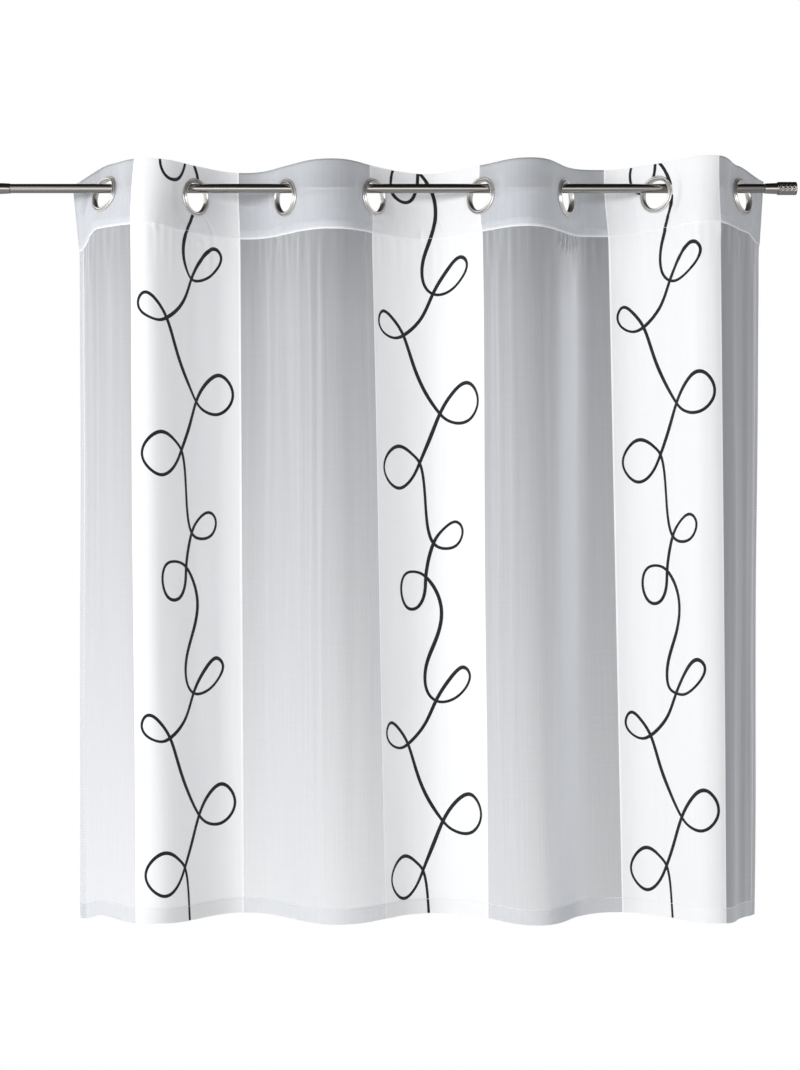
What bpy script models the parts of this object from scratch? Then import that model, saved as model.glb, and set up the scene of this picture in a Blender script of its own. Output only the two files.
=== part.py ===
"""Sheer voile curtain, hung in waves on a thin steel rod by eight two-part eyelets.

Frame: origin on the rod's axis at its middle, +X along the rod, +Y towards the wall, +Z up.
The cloth is laid out flat first (across, up, front) and then carried to its hanging shape
by one function, hang(), which reads the short table FOLDS.
"""
import math

import bmesh
import bpy
import numpy as np
from mathutils import Matrix, Vector

MM = 0.001                  # every size below is in millimetres

# --- cloth, flat -------------------------------------------------------------------------
PANEL_WIDTH = 1400.0        # flat width between the side edges
PANEL_DROP = 1054.0         # flat height from top edge to bottom hem
CLOTH = 1.2                 # thickness of the panel
BAND_DEPTH = 96.0           # height of the doubling behind the top
BAND_CLOTH = 1.0            # thickness of that doubling
BAND_INSET = 2.0            # it stops this short of the panel's top and side edges
HEM_CLOTH = 2.0             # thickness where a hem is turned to the back
SIDE_HEM = 17.0             # width of the side hems
BOTTOM_HEM = 22.0           # height of the bottom hem
GAP = 0.3                   # air between pieces that touch
BAND_GAP = 0.6              # air between the panel and the band, whose facets differ a little

# --- eyelets -----------------------------------------------------------------------------
EYELETS = 8
EYELET_PITCH = 180.0        # flat distance between eyelet centres
EYELET_MARGIN = 70.0        # from the side edge to the first centre
EYELET_DOWN = 44.5          # from the top edge to the centres
EYELET_INNER = 20.5         # radius of the clear hole
EYELET_OUTER = 26.5         # radius over the front ring
BACK_OUTER = 26.0           # radius over the back ring
BARREL = 22.0               # outer radius of the barrel through the cloth
DOME = 3.1                  # height of the front ring over the cloth
BACK_RISE = 2.2             # height of the back ring over the band
CLOTH_HOLE = 23.0           # radius punched through the cloth
RING_STEPS = 20             # facets around a ring
FLAT_RADIUS = 31.0          # the rings hold the cloth flat as far as this
BLEND_RADIUS = 50.0         # and it bends freely from here on

# --- rod ---------------------------------------------------------------------------------
ROD_RADIUS = 6.5
ROD_HALF = 528.5            # half of the tube's length
CAP_SLEEVE_START = 546.5    # where the neck of an end cap meets its thick sleeve
CAP_END = 573.5             # the outer face of an end cap
CAP_RADIUS = 9.3            # of the sleeve
CAP_NECK = 7.9              # radius of the neck where it meets the sleeve
ROD_STEPS = 20

# --- hanging shape -----------------------------------------------------------------------
TOP_HEIGHT = 32.0           # height of the top edge over the rod's axis
FOLD_SOFTNESS = 20.0        # half height of the soft bend under the heading
HEM_RISE = 0.4              # share of a fold's rise or droop that the bottom still shows
REST_CLEARANCE = 0.6        # between a ring and the rod it rests on, facets included

# One row for each fold and each eyelet, from the left edge to the right one.
#   flat: distance from the left edge.  across, depth: place in plan at the eyelets' height.
#   angle: direction of the cloth in plan, + turns towards the wall.
#   lean_x, lean_y: how far the top edge stands off from the heading's foot.
#   hem_x, hem_y: place in plan at the bottom.  rise: height over the even top edge,
#   of which HEM_RISE is left at the bottom.
FOLD_COLUMNS = ("name", "flat", "across", "depth", "angle", "lean_x", "lean_y", "hem_x", "hem_y", "rise")
FOLDS = (
    ("edge_left",    0, -444,  47, -52, -10,   1, -438,  50, -19),
    ("eyelet_1",    70, -397,   0, -46,  16,  18, -399,   0,  0),
    ("crest_1",    160, -331, -64,   0,   3,  22, -325, -60,  1),
    ("eyelet_2",   250, -269,   0,  52,   0,   2, -262,   0,  0),
    ("trough_1",   336, -206,  54,   0,   0,   8, -200,  48,  0),
    ("eyelet_3",   430, -143,   0, -52,   0,   0, -134,   0,  0),
    ("crest_2",    520,  -78, -55,   0,   0,  -2,  -68, -52,  0),
    ("eyelet_4",   610,  -19,   0,  53,  -4,   5,    1,   0,  0),
    ("trough_2",   700,   57,  50,   0,   0,   8,   64,  46, -2),
    ("eyelet_5",   790,  131,   0, -46,   6,   8,  135,   0,  0),
    ("crest_3",    882,  195, -64,   0,   4,  10,  205, -62,  1),
    ("eyelet_6",   970,  250,   0,  62,  -4,   4,  260,   0,  0),
    ("trough_3",  1063,  308,  54,   0,   0,   4,  326,  44,  4),
    ("eyelet_7",  1150,  377,   0, -40,   4,   7,  390,   0,  0),
    ("crest_4",   1248,  446, -62,   0,   4,  18,  453, -64,  5),
    ("eyelet_8",  1330,  497,   0,  54, -10,  10,  496,   0,  0),
    ("edge_right", 1400, 534,  55,  55,   9,  20,  522,  48, -11),
)


def band_front():
    """Heights over the cloth's middle surface, + towards the front."""
    return -CLOTH / 2 - BAND_GAP


def back_seat():
    return band_front() - BAND_CLOTH - GAP


def back_face():
    return back_seat() - BACK_RISE


def front_seat():
    return CLOTH / 2 + GAP


def front_crown():
    return front_seat() + DOME


def fold_column(name):
    index = FOLD_COLUMNS.index(name)
    return np.array([row[index] for row in FOLDS], dtype=float)


FLAT = fold_column("flat")
ANGLE = np.radians(fold_column("angle"))
ALONG_X = np.cos(ANGLE)
ALONG_Y = np.sin(ANGLE)
LEVEL = np.zeros(len(FOLDS))
LEAN_X = fold_column("lean_x")
LEAN_Y = fold_column("lean_y")


def between_folds(u, values, slopes):
    """Smooth curve through one value for each row of FOLDS, read at the flat distances u."""
    left = np.clip(np.searchsorted(FLAT, u, side="right") - 1, 0, len(FLAT) - 2)
    span = FLAT[left + 1] - FLAT[left]
    t = (u - FLAT[left]) / span
    start = (1 + 2 * t) * (1 - t) ** 2
    leave = t * (1 - t) ** 2 * span
    arrive = t ** 2 * (t - 1) * span
    end = t ** 2 * (3 - 2 * t)
    return start * values[left] + leave * slopes[left] + end * values[left + 1] + arrive * slopes[left + 1]


def lean_share(v):
    """1 at the top edge, 0 below the heading, with a soft bend at the heading's foot."""
    upper = 1 - v / BAND_DEPTH
    bend = (BAND_DEPTH + FOLD_SOFTNESS - v) ** 2 / (4 * FOLD_SOFTNESS * BAND_DEPTH)
    below = np.where(v < BAND_DEPTH + FOLD_SOFTNESS, bend, 0.0)
    return np.where(v < BAND_DEPTH - FOLD_SOFTNESS, upper, below)


EYELET_SHARE = float(lean_share(np.array(EYELET_DOWN)))


def lean_drop(u, v):
    """How much less a leaning heading hangs down than an upright one."""
    lean_x = between_folds(u, LEAN_X, LEVEL)
    lean_y = between_folds(u, LEAN_Y, LEVEL)
    slant = (lean_x ** 2 + lean_y ** 2) / BAND_DEPTH ** 2
    return BAND_DEPTH * (1 - np.sqrt(1 - slant)) * (1 - lean_share(v))


def waves(u, v, rise):
    """Point of the cloth's middle surface, u across and v down from the top edge."""
    across = between_folds(u, fold_column("across"), ALONG_X)
    depth = between_folds(u, fold_column("depth"), ALONG_Y)
    lean_x = between_folds(u, LEAN_X, LEVEL)
    lean_y = between_folds(u, LEAN_Y, LEVEL)
    foot_x = across - EYELET_SHARE * lean_x
    foot_y = depth - EYELET_SHARE * lean_y
    hem_x = between_folds(u, fold_column("hem_x"), ALONG_X)
    hem_y = between_folds(u, fold_column("hem_y"), ALONG_Y)
    lean = lean_share(v)
    fall = np.clip((v - BAND_DEPTH) / (PANEL_DROP - BAND_DEPTH), 0, 1)
    x = foot_x + lean * lean_x + fall * (hem_x - foot_x)
    y = foot_y + lean * lean_y + fall * (hem_y - foot_y)
    left_over = 1 - (1 - HEM_RISE) * fall
    z = TOP_HEIGHT + left_over * between_folds(u, rise, LEVEL) - v + lean_drop(u, v)
    return np.stack((x, y, z), axis=-1)


def ring_axes(row):
    """Directions of an eyelet: along the cloth, up the cloth, and out of its front."""
    along = Vector((ALONG_X[row], ALONG_Y[row], 0))
    level = math.sqrt(BAND_DEPTH ** 2 - LEAN_X[row] ** 2 - LEAN_Y[row] ** 2)
    up = Vector((LEAN_X[row], LEAN_Y[row], level))
    up = (up - up.dot(along) * along).normalized()
    return along, up, along.cross(up)


def ring_drop(row):
    """How far an eyelet's centre hangs below the rod's axis when it rests on the rod."""
    along, up, front = ring_axes(row)
    reach = ROD_RADIUS + REST_CLEARANCE
    turn = np.linspace(0, math.pi, 181)
    heights = []
    for out in (back_face(), 0.0, front_crown()):
        side = EYELET_INNER * (np.cos(turn) * along.y + np.sin(turn) * up.y) + out * front.y
        height = EYELET_INNER * (np.cos(turn) * along.z + np.sin(turn) * up.z) + out * front.z
        over = np.abs(side) < reach
        heights.append((height[over] - np.sqrt(reach ** 2 - side[over] ** 2)).min())
    return min(heights)


EYELET_ROWS = [index for index, row in enumerate(FOLDS) if row[0].startswith("eyelet")]


def settled_rise():
    """The rise column, with each eyelet's own value found from where its ring rests."""
    rise = fold_column("rise")
    for row in EYELET_ROWS:
        level = TOP_HEIGHT - EYELET_DOWN + float(lean_drop(FLAT[row], np.array(EYELET_DOWN)))
        rise[row] = -ring_drop(row) - level
    return rise


RISE = settled_rise()


def ring_centre(row):
    return Vector(waves(np.array([FLAT[row]]), np.array([EYELET_DOWN]), RISE)[0])


def surface(u, v):
    """The waves, held flat where the eyelets clamp the cloth."""
    points = waves(u, v, RISE)
    for row in EYELET_ROWS:
        along, up, _ = ring_axes(row)
        side = u - FLAT[row]
        height = EYELET_DOWN - v
        flat = np.array(ring_centre(row)) + side[:, None] * np.array(along) + height[:, None] * np.array(up)
        away = np.clip((np.hypot(side, height) - FLAT_RADIUS) / (BLEND_RADIUS - FLAT_RADIUS), 0, 1)
        hold = 1 - away ** 2 * (3 - 2 * away)
        points += hold[:, None] * (flat - points)
    return points


def hang(bm):
    """Carry a flat mesh (across, up, front) to its hanging place, and to metres."""
    bm.verts.ensure_lookup_table()
    flat = np.array([vert.co for vert in bm.verts], dtype=float)
    u = flat[:, 0]
    v = -flat[:, 1]
    step = 0.5
    along = surface(u + step, v) - surface(u - step, v)
    up = surface(u, v - step) - surface(u, v + step)
    front = np.cross(along, up)
    front /= np.linalg.norm(front, axis=1)[:, None]
    points = (surface(u, v) + front * flat[:, 2:3]) * MM
    for vert, point in zip(bm.verts, points):
        vert.co = point


# --- objects and materials ---------------------------------------------------------------

def clear_scene():
    for item in list(bpy.data.objects):
        bpy.data.objects.remove(item, do_unlink=True)


def material(name, colour, roughness, metallic=0.0):
    mat = bpy.data.materials.new(name)
    mat.use_nodes = True
    shader = mat.node_tree.nodes["Principled BSDF"]
    shader.inputs["Base Color"].default_value = (*colour, 1)
    shader.inputs["Roughness"].default_value = roughness
    shader.inputs["Metallic"].default_value = metallic
    return mat


def add_object(name, bm, mat, smooth_angle=35.0):
    mesh = bpy.data.meshes.new(name)
    bm.to_mesh(mesh)
    bm.free()
    mesh.shade_smooth()
    mesh.set_sharp_from_angle(angle=math.radians(smooth_angle))
    mesh.materials.append(mat)
    item = bpy.data.objects.new(name, mesh)
    bpy.context.collection.objects.link(item)
    return item


# --- cloth -------------------------------------------------------------------------------

WINDOW_CELLS = 4            # grid cells across the square that holds one eyelet
CELL = 18.0                 # width of one grid cell
WINDOW = WINDOW_CELLS * CELL / 2
COLUMNS_BETWEEN = 6         # grid cells between two such squares
COLUMNS_OUTSIDE = 2         # grid cells from a side edge to the first square
BODY_LINES = (108, 150, 220, 320, 440, 570, 700, 830, 940, PANEL_DROP - BOTTOM_HEM, PANEL_DROP)


def eyelet_places():
    return [EYELET_MARGIN + index * EYELET_PITCH for index in range(EYELETS)]


def column_lines(left, right):
    """Grid lines across, which meet the square around every eyelet."""
    lines = list(np.linspace(left, eyelet_places()[0] - WINDOW, COLUMNS_OUTSIDE + 1))
    for index, place in enumerate(eyelet_places()):
        lines += list(np.linspace(place - WINDOW, place + WINDOW, WINDOW_CELLS + 1))[1:]
        if index < EYELETS - 1:
            gap = np.linspace(place + WINDOW, place + EYELET_PITCH - WINDOW, COLUMNS_BETWEEN + 1)
            lines += list(gap)[1:]
    lines += list(np.linspace(eyelet_places()[-1] + WINDOW, right, COLUMNS_OUTSIDE + 1))[1:]
    return lines


def heading_lines(top):
    """Grid lines down the heading."""
    window = np.linspace(EYELET_DOWN - WINDOW, EYELET_DOWN + WINDOW, WINDOW_CELLS + 1)
    return [top] + list(window) + [BAND_DEPTH]


def flat_grid(columns, rows):
    """A flat grid on the given lines, front side up."""
    bm = bmesh.new()
    bmesh.ops.create_grid(bm, x_segments=len(columns) - 1, y_segments=len(rows) - 1, size=0.5)
    for vert in bm.verts:
        column = round((vert.co.x + 0.5) * (len(columns) - 1))
        row = round((0.5 - vert.co.y) * (len(rows) - 1))
        vert.co = (columns[column], -rows[row], 0)
    return bm


def punch(bm, place):
    """Replace the square around an eyelet by rings of faces with a round hole in the middle."""
    middle = Vector((place, -EYELET_DOWN, 0))
    inside = {face for face in bm.faces
              if max(map(abs, face.calc_center_median() - middle)) < WINDOW}
    edges = {edge for face in inside for edge in face.edges}
    rim = [edge for edge in edges if not inside.issuperset(edge.link_faces)]
    bmesh.ops.delete(bm, geom=list(inside), context="FACES")
    step = math.tau / (4 * WINDOW_CELLS)
    for radius in (FLAT_RADIUS - 1, CLOTH_HOLE):
        grown = bmesh.ops.extrude_edge_only(bm, edges=rim)["geom"]
        rim = [item for item in grown if isinstance(item, bmesh.types.BMEdge)]
        for vert in {vert for edge in rim for vert in edge.verts}:
            away = vert.co - middle
            angle = round(math.atan2(away.y, away.x) / step) * step
            vert.co = middle + radius * Vector((math.cos(angle), math.sin(angle), 0))


def thicken(bm, front, back):
    """Give the flat sheet a front and a back face at these heights."""
    sheet = bmesh.ops.extrude_face_region(bm, geom=bm.faces[:])
    raised = {item for item in sheet["geom"] if isinstance(item, bmesh.types.BMVert)}
    for vert in bm.verts:
        vert.co.z = front if vert in raised else back
    bmesh.ops.recalc_face_normals(bm, faces=bm.faces)


def turn_hems(bm):
    """Side and bottom hems are turned to the back, below the heading."""
    for vert in bm.verts:
        aside = min(vert.co.x, PANEL_WIDTH - vert.co.x) < SIDE_HEM + 1
        below = -vert.co.y > PANEL_DROP - BOTTOM_HEM - 1
        if vert.co.z < 0 and (below or (aside and -vert.co.y > BAND_DEPTH + 1)):
            vert.co.z = CLOTH / 2 - HEM_CLOTH


def build_panel(mat):
    rows = heading_lines(0.0) + list(BODY_LINES)
    bm = flat_grid(column_lines(0.0, PANEL_WIDTH), rows)
    for place in eyelet_places():
        punch(bm, place)
    thicken(bm, CLOTH / 2, -CLOTH / 2)
    turn_hems(bm)
    hang(bm)
    return add_object("panel", bm, mat)


def build_heading_band(mat):
    bm = flat_grid(column_lines(BAND_INSET, PANEL_WIDTH - BAND_INSET), heading_lines(BAND_INSET))
    for place in eyelet_places():
        punch(bm, place)
    thicken(bm, band_front(), band_front() - BAND_CLOTH)
    hang(bm)
    return add_object("heading_band", bm, mat)


# --- turned pieces -----------------------------------------------------------------------

def turned(profile, steps, ring=True):
    """Spin a profile of (radius, height) about Z. A ring's profile closes on itself."""
    bm = bmesh.new()
    verts = [bm.verts.new((radius, 0, height)) for radius, height in profile]
    ends = verts[1:] + verts[:1] if ring else verts[1:]
    edges = [bm.edges.new(pair) for pair in zip(verts, ends)]
    bmesh.ops.spin(bm, geom=verts + edges, cent=(0, 0, 0), axis=(0, 0, 1),
                   angle=math.tau, steps=steps, use_merge=True)
    bmesh.ops.remove_doubles(bm, verts=bm.verts, dist=0.001)
    bmesh.ops.recalc_face_normals(bm, faces=bm.faces)
    return bm


def front_profile():
    seat = front_seat()
    return ((EYELET_INNER, back_face()), (EYELET_INNER, seat + 0.35 * DOME),
            (EYELET_INNER + 1.0, seat + 0.85 * DOME), (EYELET_INNER + 2.8, front_crown()),
            (EYELET_OUTER - 1.2, seat + 0.75 * DOME), (EYELET_OUTER, seat + 0.2 * DOME),
            (EYELET_OUTER - 0.3, seat), (BARREL, seat), (BARREL, back_face()))


def back_profile():
    seat = back_seat()
    return ((BARREL + GAP, seat), (BACK_OUTER, seat), (BACK_OUTER, seat - 0.5 * BACK_RISE),
            (BACK_OUTER - 1.6, back_face()), (BARREL + GAP, back_face()))


def build_eyelets(mat):
    for number, row in enumerate(EYELET_ROWS, start=1):
        along, up, front = ring_axes(row)
        turn = Matrix((along, up, front)).transposed().to_4x4()
        place = Matrix.Translation(ring_centre(row) * MM) @ turn @ Matrix.Scale(MM, 4)
        for side, profile in (("front", front_profile()), ("back", back_profile())):
            bm = turned(profile, RING_STEPS)
            bmesh.ops.transform(bm, matrix=place, verts=bm.verts)
            add_object(f"eyelet_{number}_{side}", bm, mat)


def along_rod(bm, side):
    """Lay a piece turned about Z along the rod, with its top towards the end on this side."""
    turn = Matrix.Rotation(side * math.pi / 2, 4, "Y") @ Matrix.Scale(MM, 4)
    bmesh.ops.transform(bm, matrix=turn, verts=bm.verts)


def build_rod(mat):
    bm = bmesh.new()
    bmesh.ops.create_cone(bm, cap_ends=True, segments=ROD_STEPS, radius1=ROD_RADIUS,
                          radius2=ROD_RADIUS, depth=2 * ROD_HALF)
    along_rod(bm, 1)
    return add_object("rod", bm, mat)


def cap_profile():
    """From the outer face's middle over the sleeve and down the neck to the tube's end."""
    return ((0.0, CAP_END), (CAP_RADIUS - 1.0, CAP_END), (CAP_RADIUS, CAP_END - 1.2),
            (CAP_RADIUS, CAP_SLEEVE_START + 0.8), (CAP_RADIUS - 0.5, CAP_SLEEVE_START),
            (CAP_NECK, CAP_SLEEVE_START), (ROD_RADIUS + 0.4, ROD_HALF + GAP), (0.0, ROD_HALF + GAP))


def build_end_caps(mat):
    for name, side in (("end_cap_left", -1), ("end_cap_right", 1)):
        bm = turned(cap_profile(), ROD_STEPS, ring=False)
        along_rod(bm, side)
        add_object(name, bm, mat)


def build():
    clear_scene()
    voile = material("white_voile", (0.86, 0.87, 0.89), 0.85)
    doubled = material("doubled_voile", (0.80, 0.81, 0.83), 0.85)
    nickel = material("nickel_plated_steel", (0.62, 0.61, 0.59), 0.22, 1.0)
    brushed = material("brushed_steel", (0.45, 0.44, 0.43), 0.32, 1.0)
    build_panel(voile)
    build_heading_band(doubled)
    build_eyelets(nickel)
    build_rod(brushed)
    build_end_caps(brushed)


build()
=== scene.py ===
"""Looks of the sheer voile curtain on its rod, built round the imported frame.

The row's frame is kept: origin on the rod's axis at its middle, +X along the rod, +Y to the back,
+Z up, in metres. Cloth, its print and its stitches are laid out flat in millimetres first
(across, up, front), and hang() carries them to the waves that the solids have.
"""
import math

import bmesh
import bpy
import numpy as np
from mathutils import Matrix, Vector


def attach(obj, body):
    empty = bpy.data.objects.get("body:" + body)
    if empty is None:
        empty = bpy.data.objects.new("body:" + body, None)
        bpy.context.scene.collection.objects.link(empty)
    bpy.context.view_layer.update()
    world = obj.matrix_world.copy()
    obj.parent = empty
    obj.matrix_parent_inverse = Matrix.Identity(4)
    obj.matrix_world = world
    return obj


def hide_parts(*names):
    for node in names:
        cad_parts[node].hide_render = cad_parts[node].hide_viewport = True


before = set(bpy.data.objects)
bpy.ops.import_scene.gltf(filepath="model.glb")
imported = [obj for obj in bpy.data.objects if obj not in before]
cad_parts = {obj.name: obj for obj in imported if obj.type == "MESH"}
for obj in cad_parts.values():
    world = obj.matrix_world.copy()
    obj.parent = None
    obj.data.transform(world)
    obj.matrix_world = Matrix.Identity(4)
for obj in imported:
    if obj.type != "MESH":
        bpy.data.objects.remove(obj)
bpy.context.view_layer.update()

MM = 0.001                  # sizes below are in millimetres, unless they say metres

# --- cloth, flat -------------------------------------------------------------------------
PANEL_WIDTH = 1400.0
PANEL_DROP = 1054.0
BAND_DEPTH = 96.0           # height of the heading
BAND_INSET = 2.0            # the doubling stops this short of the top and side edges
BAND_TURN = 48.0            # height of the layer turned in between panel and doubling
SEAM_WIDTH = 9.0            # strip at the heading's foot where the layers are sewn together
SIDE_HEM = 17.0
BOTTOM_HEM = 22.0
HEM_BEHIND = 0.5            # a turned hem lies this far behind the panel
TURN_BEHIND = 1.0           # so does the layer turned in at the heading's foot
BAND_BEHIND = 1.6           # and the doubling
FOOT_STEP = 1.0             # the single cloth under the heading lies this far behind its front
FOOT_EDGE = 1.6             # and the step to it ends about this far below the heading

# --- eyelets -----------------------------------------------------------------------------
EYELETS = 8
EYELET_PITCH = 180.0
EYELET_MARGIN = 70.0
EYELET_DOWN = 44.5
EYELET_INNER = 20.5
EYELET_OUTER = 26.5
BACK_OUTER = 26.0
BARREL = 22.0
FRONT_CROWN = 4.0           # height of the front ring's crown over the cloth's middle
BACK_SEAT = -2.1            # the back ring's seat
BACK_FACE = -4.7            # and its farthest point
CLOTH_HOLE = 24.0
RING_STEPS = 72
FLAT_RADIUS = 31.0          # the rings hold the cloth flat as far as this
BLEND_RADIUS = 50.0         # and it bends freely from here on
RING_RIDGE = (38.0, 3.2, 0.5)               # radius, width and height of a faint ridge below a ring

# --- rod ---------------------------------------------------------------------------------
ROD_RADIUS = 6.5
ROD_HALF = 528.5
CAP_SLEEVE_START = 546.5
CAP_END = 573.5
CAP_RADIUS = 9.3
CAP_NECK = 7.9
ROD_STEPS = 64
ROD_EDGE = 0.4              # the ends of the tube are broken by this much
REST_CLEARANCE = 0.6        # between a ring and the rod it hangs on

# --- hanging shape, as in the solids -----------------------------------------------------
TOP_HEIGHT = 32.0           # height of the top edge over the rod's axis
FOLD_SOFTNESS = 20.0        # half height of the soft bend under the heading
HEM_RISE = 0.4              # share of a fold's rise or droop that the bottom still shows
NORMAL_STEP = 0.5           # the surface's normal is read this far to each side
FOLD_COLUMNS = ("name", "flat", "across", "depth", "angle", "lean_x", "lean_y", "hem_x", "hem_y", "rise")
FOLDS = (
    ("edge_left",    0, -444,  47, -52, -10,   1, -438,  50, -19),
    ("eyelet_1",    70, -397,   0, -46,  16,  18, -399,   0,  0),
    ("crest_1",    160, -331, -64,   0,   3,  22, -325, -60,  1),
    ("eyelet_2",   250, -269,   0,  52,   0,   2, -262,   0,  0),
    ("trough_1",   336, -206,  54,   0,   0,   8, -200,  48,  0),
    ("eyelet_3",   430, -143,   0, -52,   0,   0, -134,   0,  0),
    ("crest_2",    520,  -78, -55,   0,   0,  -2,  -68, -52,  0),
    ("eyelet_4",   610,  -19,   0,  53,  -4,   5,    1,   0,  0),
    ("trough_2",   700,   57,  50,   0,   0,   8,   64,  46, -2),
    ("eyelet_5",   790,  131,   0, -46,   6,   8,  135,   0,  0),
    ("crest_3",    882,  195, -64,   0,   4,  10,  205, -62,  1),
    ("eyelet_6",   970,  250,   0,  62,  -4,   4,  260,   0,  0),
    ("trough_3",  1063,  308,  54,   0,   0,   4,  326,  44,  4),
    ("eyelet_7",  1150,  377,   0, -40,   4,   7,  390,   0,  0),
    ("crest_4",   1248,  446, -62,   0,   4,  18,  453, -64,  5),
    ("eyelet_8",  1330,  497,   0,  54, -10,  10,  496,   0,  0),
    ("edge_right", 1400, 534,  55,  55,   9,  20,  522,  48, -11),
)

# Small folds on the waves. flat and hem: distance from the left edge under the heading and at
# the bottom. width, height: of a soft ridge, - for a trough. start, end: drop from the top edge.
SMALL_FOLDS = (
    (  28,   20,  9,  1.6,  120, 1054),
    (  62,   58,  7, -1.4,  100,  700),
    ( 104,   96,  9,  1.3,   96,  620),
    ( 190,  186, 16, -1.2,  130,  900),
    ( 236,  230, 12,  1.2,  100,  560),
    ( 300,  296, 14, -1.4,  110,  980),
    ( 345,  342,  6,  1.2,  110,  640),
    ( 388,  378,  7,  1.6,  104, 1054),
    ( 430,  424, 12, -1.6,   96,  520),
    ( 463,  452,  6,  1.1,  110,  900),
    ( 488,  477,  4,  1.7,   96, 1054),
    ( 497,  487,  4, -1.3,   96, 1054),
    ( 507,  497,  4,  1.9,   96, 1054),
    ( 556,  548, 13, -3.2,  110,  980),
    ( 586,  574,  7,  1.6,  120,  860),
    ( 648,  645, 18,  1.4,  120,  900),
    ( 705,  701, 14, -1.2,  180, 1054),
    ( 752,  748, 16,  1.2,  110,  760),
    ( 812,  806,  6, -1.0,  110,  900),
    ( 833,  824,  5,  1.6,  100, 1054),
    ( 858,  848,  6,  1.7,  100,  980),
    ( 926,  912, 12, -3.0,  112, 1054),
    ( 984,  958, 16,  2.4,  130, 1054),
    (1012,  990, 14, -2.0,  130, 1000),
    (1044, 1036,  9,  1.2,  104,  700),
    (1112, 1108, 18,  1.2,  120,  940),
    (1176, 1172, 16, -1.3,  110,  860),
    (1222, 1220, 12,  1.1,  140,  760),
    (1290, 1293,  9,  1.2,  110, 1054),
    (1322, 1330, 10, -0.7, 112,  980),
    (1366, 1372,  9,  0.8, 116, 1054),
)

# Short tucks where the seam and the rings draw the cloth. flat, down: middle. width, length: across
# and down. height: of a soft ridge, - for a trough. slant: how far it runs across as it goes down.
PINCHES = (
    ( 176,  99, 3.0,  6.0,  1.8,  0.2),
    ( 184,  98, 2.4,  5.0, -1.4,  0.1),
    ( 222,  86, 2.8, 11.0, -1.6, -0.3),
    ( 262, 101, 7.0,  2.6, -2.0,  0.0),
    ( 280,  84, 2.8, 10.0, -1.5,  0.5),
    ( 330, 104, 3.0,  9.0,  1.4,  0.0),
    ( 404, 101, 4.0, 10.0, -1.4,  0.1),
    ( 455,  98, 5.0,  7.0,  1.4, -0.2),
    ( 585, 100, 3.4,  9.0,  1.6, -0.2),
    ( 640, 103, 6.0,  5.0, -1.2,  0.0),
    ( 690,  90, 2.4,  7.0, -1.9,  0.0),
    ( 718,  72, 2.6,  9.0, -1.3,  0.6),
    ( 764, 100, 3.0, 10.0,  1.4, -0.2),
    ( 815,  99, 3.6,  9.0, -1.5,  0.1),
    ( 905, 104, 4.0, 10.0,  1.2,  0.0),
    ( 944, 107, 2.8, 10.0,  3.2, -0.3),
    ( 956, 109, 2.8, 13.0,  3.8, -0.2),
    ( 967, 110, 3.0, 15.0,  4.0, -0.1),
    ( 979, 110, 2.8, 14.0,  3.8,  0.0),
    ( 991, 108, 2.8, 11.0,  3.4,  0.1),
    (1004, 106, 2.8,  9.0,  2.8,  0.2),
    (1122,  98, 3.0, 10.0, -1.5, -0.2),
    (1150,  86, 2.6,  8.0, -1.7,  0.1),
    (1180,  96, 3.0, 10.0,  1.3,  0.3),
    (1262, 103, 3.4, 11.0,  1.4,  0.0),
    (1308, 100, 3.0,  9.0, -1.5, -0.1),
)

# --- weave -------------------------------------------------------------------------------
STRIPE_FIRST = 235.3        # flat distance to the middle of the first dense stripe
STRIPE_PERIOD = 465.5
STRIPE_WIDTH = 193.0
STRIPES = 3
STRIPE_EDGE = 0.5           # the weave changes over this much to each side of a stripe's edge
BORDER_INSET = 1.2          # the bright border of a stripe lies this far inside its edge
BORDER_HALF = (0.5, 1.6)    # it is full this far from its middle, and fades out by the second

# share of the cloth that is open between the threads, seen square on: most and least
SHEER_GAPS = (0.66, 0.62)
DENSE_GAPS = (0.13, 0.10)
SEAM_GAPS = 0.10            # where the layers are sewn together
EDGE_GAPS = 0.01            # on the heading's fold, which is also painted white as a highlight, and on the bright borders of the stripes
SLANTED_LEAST = 0.12        # keeps the threads in the way finite on a sheet seen edge on
# yarn, dark and light
SHEER_YARN = ("#D7DADE", "#E2E4E8")
DENSE_YARN = ("#F3F4F5", "#F9F9FA")
# white yarn of the stripes' borders, and a painted highlight on the heading's fold
BORDER_YARN_AND_FOLD_HIGHLIGHT = "#FFFFFF"
WARP_SCALE = (0.45, 0.006, 0)               # of the uneven threads, for each mm across and down
WEFT_SCALE = (0.010, 0.55, 0)
WEFT_SHARE = 0.3            # of the unevenness
LIGHT_THROUGH = 0.25        # share of a thread's light that comes through it from the other side

# The heading is gathered unevenly, so its weave doesn't lie quite square: (flat, pulled to the right)
PULLED_END = (20, 112)      # drop where the pull starts to fade, and where it has gone
PULLED = (
    (0, 0), (139, -3), (185, -7), (226, 0), (247, 6), (290, 0), (332, -3), (450, 0), (604, 0), (651, -6),
    (690, -8), (714, -6), (797, -14), (900, -4), (1000, -3), (1070, -6), (1116, -12), (1158, -13),
    (1180, -8), (1263, -4), (1400, 0),
)
# A band where the sheer's gaps close makes it brighter: a painted highlight that stands in for the lit side
# of the fold under the sixth ring.
HIGHLIGHT_FLAT = 990.0          # middle of the denser band under the sixth ring, at the top edge: a painted highlight for the lit side of a fold
HIGHLIGHT_SLANT = -0.033        # how far it runs across for each mm down
HIGHLIGHT_WIDTH = 62.0          # to each side of the middle
HIGHLIGHT_SHARE = 0.75          # share of the gaps that closes there
HIGHLIGHT_START = (104.0, 200.0)                # drop where it starts, and where it is full

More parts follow.
